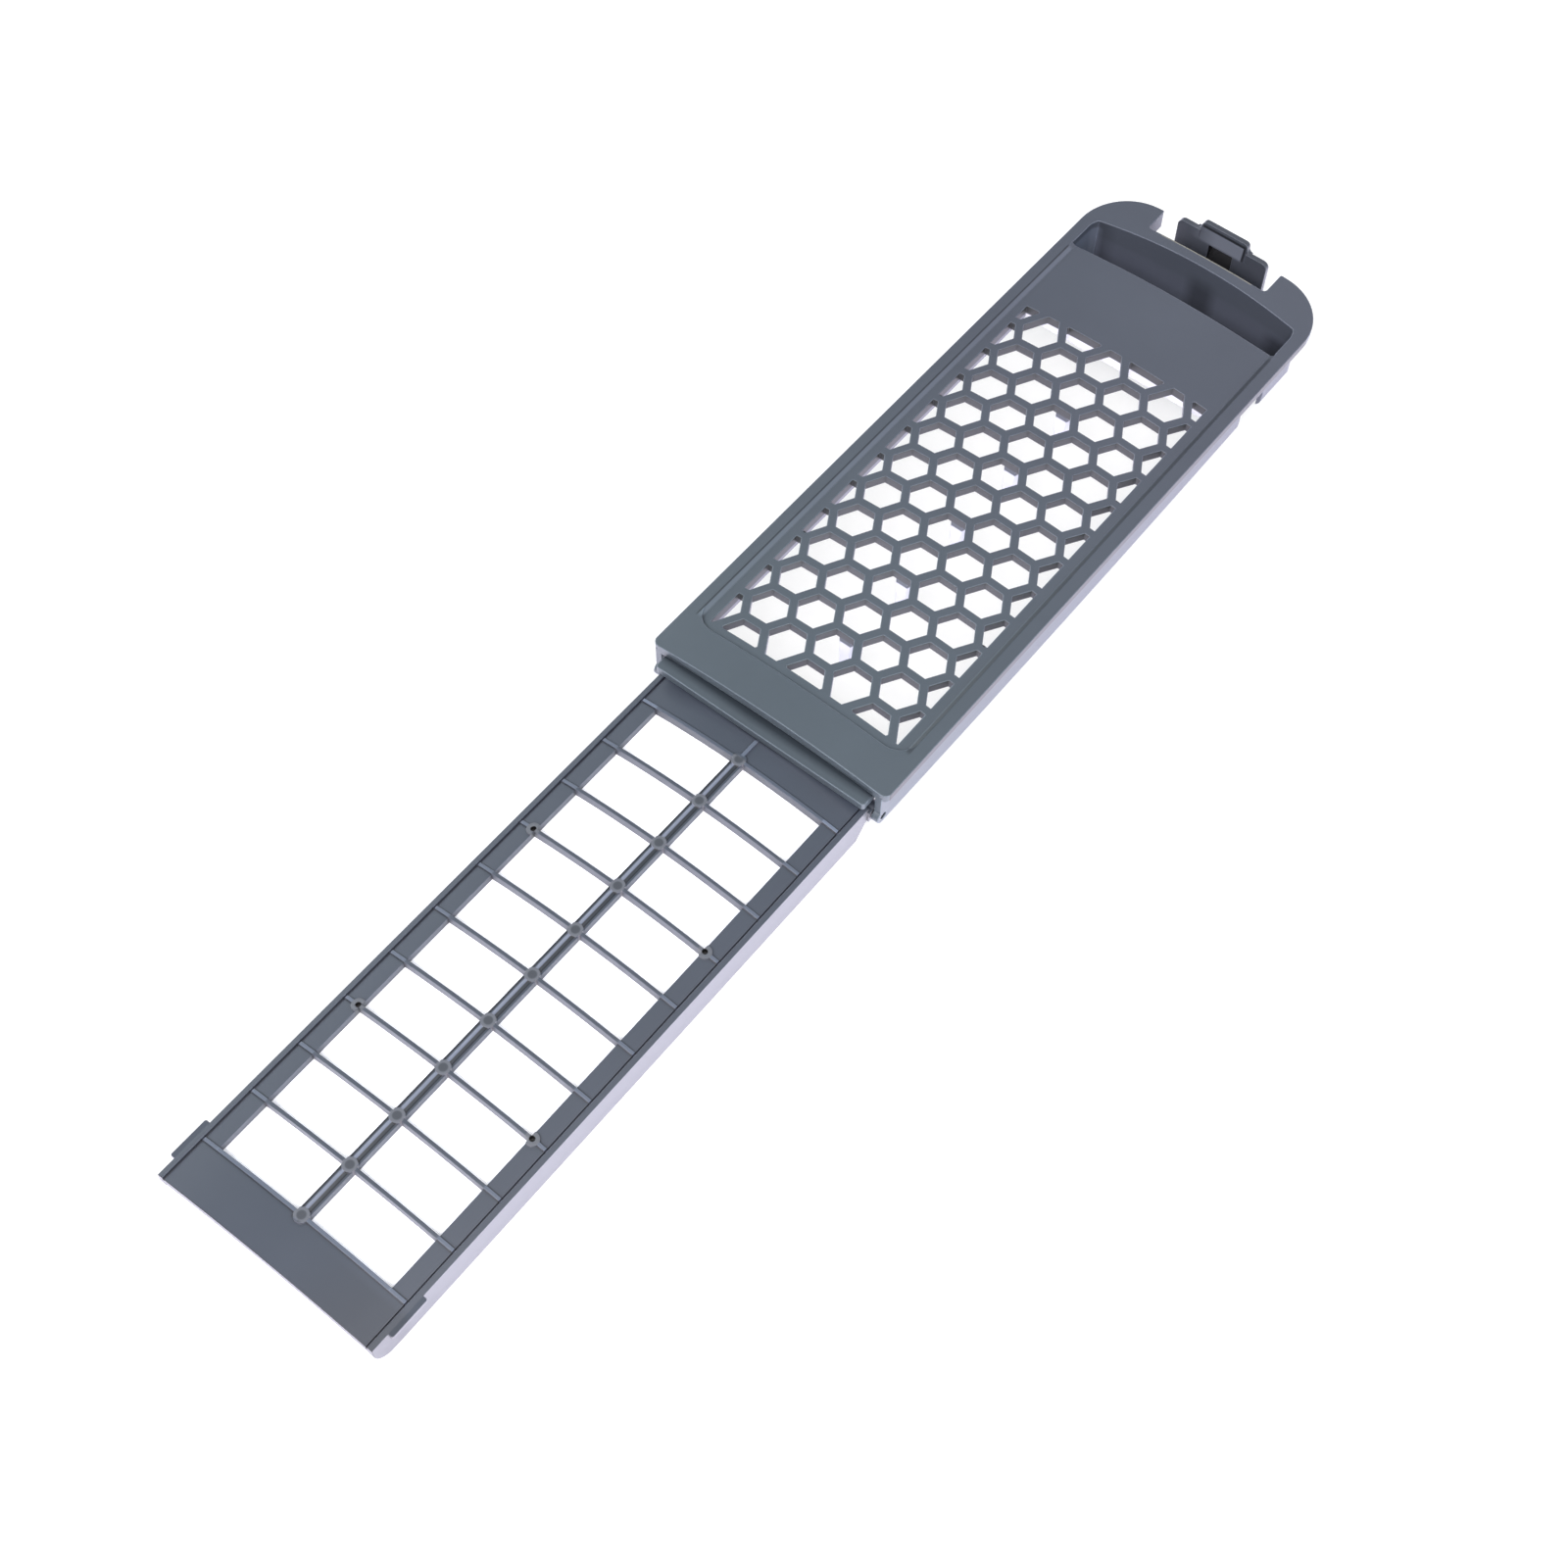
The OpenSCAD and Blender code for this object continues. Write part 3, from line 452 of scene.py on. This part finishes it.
def finish_rear():
    grid = moulded_plastic("grey_grid_plastic", REAR_GREY, 0.42, 1.6, 0.25, 1.9)
    tree = grid.node_tree
    place = coordinates(tree)
    side = maths(tree, "ABSOLUTE", place["X"])
    on_top = all_of(tree, slope(tree, place["Z"], 5.0 * MM, 5.5 * MM), between(tree, place["Y"], -168.2 * MM, -25.0 * MM, 0.6 * MM))
    border = all_of(tree, on_top, between(tree, side, GRID_EDGE, 29.0 * MM, 0.1 * MM))
    rib = from_nearest_rib(tree, place)
    line = slope(tree, rib, 0.36 * MM, 0.42 * MM, 1.0, 0.0)
    # Painted highlight on the raised rib lines, and painted shade in the creases beside them.
    paint(grid, all_of(tree, border, line), (1.9, 1.9, 1.9), "MULTIPLY")
    last_rib = all_of(tree, on_top, slope(tree, place["Y"], -166.6 * MM, -166.7 * MM), slope(tree, side, 24.5 * MM, 24.4 * MM))
    paint(grid, all_of(tree, last_rib, line), (1.9, 1.9, 1.9), "MULTIPLY")
    first_rib = all_of(tree, slope(tree, place["Y"], -25.9 * MM, -25.8 * MM), slope(tree, side, 29.0 * MM, 28.9 * MM), slope(tree, place["Z"], 5.0 * MM, 5.5 * MM))
    paint(grid, all_of(tree, first_rib, line), (1.5, 1.5, 1.5), "MULTIPLY")
    creases = all_of(tree, any_of(tree, [last_rib, first_rib]), between(tree, rib, 0.45 * MM, 0.62 * MM, 0.05 * MM, 0.15 * MM))
    paint(grid, creases, (0.45, 0.45, 0.45), "MULTIPLY")
    paint(grid, all_of(tree, border, between(tree, rib, 0.45 * MM, 0.62 * MM, 0.05 * MM, 0.2 * MM)), (0.5, 0.5, 0.5), "MULTIPLY")

    # Painted highlight along the centre rib's crest and along the middle of the strip at the hinge, and painted shade
    # on the rib's flanks.
    crest = between(tree, place["X"], -0.75 * MM, 0.05 * MM, 0.15 * MM)
    flank = between(tree, place["X"], 0.25 * MM, 0.95 * MM, 0.1 * MM)
    far_flank = between(tree, place["X"], -1.6 * MM, -1.15 * MM, 0.15 * MM)
    paint(grid, all_of(tree, on_top, crest), (3.2, 3.0, 3.0), "MULTIPLY")
    paint(grid, all_of(tree, on_top, any_of(tree, [flank, far_flank])), (0.12, 0.12, 0.12), "MULTIPLY")
    strip = between(tree, place["Y"], -24.0 * MM, -15.0 * MM, 0.3 * MM)
    paint(grid, all_of(tree, strip, slope(tree, side, 0.38 * MM, 0.45 * MM, 1.0, 0.0)), (2.2, 2.2, 2.2), "MULTIPLY")
    crossings = [FIRST_RIB - i * RIB_PITCH for i in range(11)]
    paint(grid, all_of(tree, on_top, any_of(tree, [near_axis(tree, 0.0, y, 1.7 * MM, 0.1 * MM) for y in crossings])), (0.080, 0.086, 0.096))
    paint(grid, all_of(tree, on_top, any_of(tree, [near_axis(tree, 0.0, y, 0.9 * MM, 0.3 * MM) for y in crossings])), (0.034, 0.038, 0.044))
    # Painted reflection: upright faces are painted paler and the lower side walls get a pale colour. Painted shade on
    # the end face.
    wall = all_of(tree, upright_faces(tree), slope(tree, side, 29.6 * MM, 29.7 * MM), slope(tree, place["Z"], 8.0 * MM, 8.6 * MM, 1.0, 0.0))
    paint(grid, upright_faces(tree), (2.0, 1.8, 1.8), "MULTIPLY")
    paint(grid, wall, (0.100, 0.100, 0.108))
    paint(grid, slope(tree, place["Y"], -178.7 * MM, -178.75 * MM), (0.1, 0.1, 0.1), "MULTIPLY")

    # Painted shade on the end plate, darker towards one corner.
    end_shade = all_of(tree, slope(tree, place["Y"], -168.0 * MM, -170.0 * MM), slope(tree, place["X"], 5.0 * MM, 22.0 * MM))
    paint(grid, end_shade, (0.75, 0.75, 0.75), "MULTIPLY")

    rings = any_of(tree, [near_axis(tree, x, y, 1.6 * MM, 0.1 * MM) for x, y in STUDS])
    bores = any_of(tree, [near_axis(tree, x, y, 0.66 * MM, 0.08 * MM) for x, y in STUDS])
    paint(grid, all_of(tree, on_top, rings), (0.070, 0.076, 0.085))
    # The bores are painted black as painted shade inside the hollow bosses.
    paint(grid, all_of(tree, on_top, bores), (0.001, 0.001, 0.0012))
    dress("rear_frame", grid)


finish_rear()

# %% [markdown]
# The latch leans back a little above its window, and that part has a painted highlight that
# makes it paler, with painted shade lines along its top and its end. The window opens into the
# hollow of the catch nose, which is black in its shade.

# %% Latch
LATCH_GREY = (0.034, 0.038, 0.046)
LATCH_FRONT = 189.5 * MM - PLACED_BACK


def finish_latch():
    latch = moulded_plastic("grey_latch_plastic", LATCH_GREY, 0.40, 1.49, 0.35, 2.2)
    tree = latch.node_tree
    place = coordinates(tree)
    # Painted highlight on the part that leans back above the window.
    pad = all_of(tree, between(tree, place["X"], -2.0 * MM, 5.9 * MM, 8.0 * MM, 0.3 * MM),
                 between(tree, place["Z"], 13.8 * MM, 17.3 * MM, 1.0 * MM, 0.2 * MM),
                 slope(tree, place["Y"], LATCH_FRONT + 1.0 * MM, LATCH_FRONT + 1.1 * MM, 1.0, 0.0))
    paint(latch, pad, (0.092, 0.100, 0.118))
    # Painted shade lines along the top and the end of that part.
    shade_line = all_of(tree, between(tree, place["X"], -6.4 * MM, 6.3 * MM, 0.3 * MM), between(tree, place["Z"], 17.6 * MM, 18.1 * MM, 0.15 * MM))
    end_shade_line = all_of(tree, between(tree, place["X"], 6.1 * MM, 6.5 * MM, 0.15 * MM), between(tree, place["Z"], 13.6 * MM, 17.8 * MM, 0.5 * MM))
    paint(latch, any_of(tree, [shade_line, end_shade_line]), (0.25, 0.25, 0.25), "MULTIPLY")
    hollow = all_of(tree, slope(tree, place["Y"], LATCH_FRONT + 0.02 * MM, LATCH_FRONT + 0.08 * MM),
                    between(tree, place["X"], -3.62 * MM, 3.62 * MM, 0.04 * MM),
                    between(tree, place["Z"], 5.7 * MM, 13.12 * MM, 0.05 * MM))
    paint(latch, hollow, (0.0008, 0.0008, 0.001))
    dress("latch", latch)


finish_latch()

# %% [markdown]
# The net is white nylon thread of a tenth of a millimetre, woven plain with a pitch of about a
# third of a millimetre and bonded behind the grid. Threads that fine can't be meshes, so two
# wave patterns, one across and one along, make them as bump and as a mask: a thread scatters
# the light, and the tiny holes between the threads let it through.

# %% Finish of the net
THREAD_PITCH = 0.34 * MM


def thread_waves(nodes, links, place, direction):
    wave = nodes.new("ShaderNodeTexWave")
    wave.wave_type = "BANDS"
    wave.bands_direction = direction
    wave.wave_profile = "SIN"
    wave.inputs["Scale"].default_value = 0.314 / THREAD_PITCH
    links.new(place, wave.inputs["Vector"])
    return wave.outputs["Fac"]


def net_finish():
    material = bpy.data.materials.new("white_nylon_net")
    material.use_nodes = True
    nodes, links = material.node_tree.nodes, material.node_tree.links
    surface = nodes["Principled BSDF"]
    surface.inputs["Base Color"].default_value = (0.93, 0.94, 0.95, 1.0)
    surface.inputs["Roughness"].default_value = 0.55
    surface.inputs["Transmission Weight"].default_value = 0.0
    surface.inputs["Subsurface Weight"].default_value = 0.0
    place = nodes.new("ShaderNodeTexCoord").outputs["Object"]
    weft = thread_waves(nodes, links, place, "X")
    warp = thread_waves(nodes, links, place, "Y")
    weave = nodes.new("ShaderNodeMath")
    weave.operation = "MAXIMUM"
    links.new(weft, weave.inputs[0])
    links.new(warp, weave.inputs[1])
    bump = nodes.new("ShaderNodeBump")
    bump.inputs["Strength"].default_value = 0.5
    bump.inputs["Distance"].default_value = 0.05 * MM
    links.new(weave.outputs[0], bump.inputs["Height"])
    links.new(bump.outputs["Normal"], surface.inputs["Normal"])
    thread = nodes.new("ShaderNodeMapRange")
    thread.inputs["From Min"].default_value = 0.30
    thread.inputs["From Max"].default_value = 0.55
    thread.inputs["To Min"].default_value = 0.25
    thread.inputs["To Max"].default_value = 1.0
    links.new(weave.outputs[0], thread.inputs["Value"])
    links.new(thread.outputs["Result"], surface.inputs["Alpha"])
    return material


dress("filter_net", net_finish())
